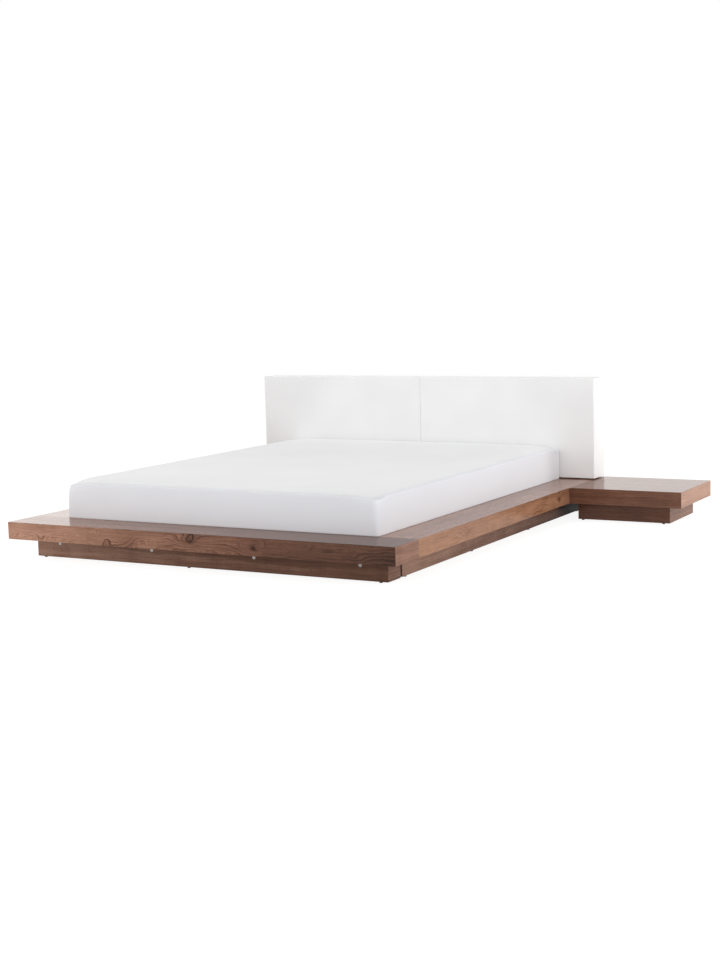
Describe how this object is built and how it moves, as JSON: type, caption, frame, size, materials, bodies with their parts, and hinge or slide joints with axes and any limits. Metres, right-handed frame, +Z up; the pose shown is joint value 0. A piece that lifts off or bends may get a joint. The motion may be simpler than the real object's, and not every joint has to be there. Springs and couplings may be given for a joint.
{
  "type": "platform double bed",
  "caption": "Low platform double bed in dark veneer: wide flat rim, set-back plinths, bedside tables, slatted base, loose mattress and white padded headboard.",
  "frame": {"origin": "on the floor under the middle of the bed's whole outline, tables and headboard included", "axes": "+X across the bed to the right as seen from the foot, +Y from the foot to the headboard, +Z up"},
  "size_m": [3.12, 2.362, 0.691],
  "materials": {
    "walnut_veneer": "satin",
    "raw_board": "matte",
    "pine": "matte",
    "black_plastic": "matte",
    "black_steel": "satin",
    "zinc_steel": "satin",
    "nickel_zinc": "satin",
    "white_leather": "satin",
    "mattress_cloth": "matte",
    "mattress_filling": "matte"
  },
  "bodies": {
    "frame": {"foot_top": "walnut_veneer", "foot_fascia": "walnut_veneer", "foot_end_boards": "walnut_veneer", "foot_inner_board": "walnut_veneer", "foot_bottom_panel": "raw_board", "rail_top_left": "walnut_veneer", "rail_top_right": "walnut_veneer", "rail_fascia_left": "walnut_veneer", "rail_fascia_right": "walnut_veneer", "rail_inner_boards": "walnut_veneer", "rail_bottom_panels": "raw_board", "rail_end_boards": "walnut_veneer", "head_top": "walnut_veneer", "head_front_board": "walnut_veneer", "head_back_board": "walnut_veneer", "head_end_boards": "raw_board", "front_plinth_face": "walnut_veneer", "front_plinth_ends": "walnut_veneer", "front_plinth_back": "walnut_veneer", "side_plinth_left": "walnut_veneer", "side_plinth_right": "walnut_veneer", "side_plinth_inner_boards": "walnut_veneer", "side_plinth_ends": "walnut_veneer", "rear_plinth": "walnut_veneer", "centre_beam": "pine", "beam_hangers": "zinc_steel", "centre_legs": "black_steel", "leg_pads": "black_plastic", "slat_cleats": "pine", "slats": "pine", "table_top_left": "walnut_veneer", "table_top_right": "walnut_veneer", "table_front_left": "walnut_veneer", "table_front_right": "walnut_veneer", "table_side_left": "walnut_veneer", "table_side_right": "walnut_veneer", "table_back_boards": "walnut_veneer", "table_inner_boards": "raw_board", "table_bottom_panels": "raw_board", "table_base_fronts": "walnut_veneer", "table_base_backs": "walnut_veneer", "table_base_sides": "walnut_veneer", "table_brackets": "black_steel", "headboard_rails": "pine", "headboard_stiles": "pine", "headboard_front_panels": "pine", "headboard_back_panels": "white_leather", "headboard_cover_left": "white_leather", "headboard_cover_right": "white_leather", "headboard_spacers": "black_plastic", "headboard_bolts": "zinc_steel", "cam_locks": "nickel_zinc", "cam_bolts": "zinc_steel", "frame_bolts": "zinc_steel", "slat_screws": "zinc_steel", "glides": "black_plastic"},
    "mattress": {"mattress_cover": "mattress_cloth", "mattress_core": "mattress_filling", "mattress_base_cloth": "mattress_filling"}
  },
  "joints": [
    {"name": "mattress_lift", "type": "slide", "parent": "frame", "child": "mattress", "axis": [0, 0, 1], "range_m": [0, 0.6]}
  ]
}
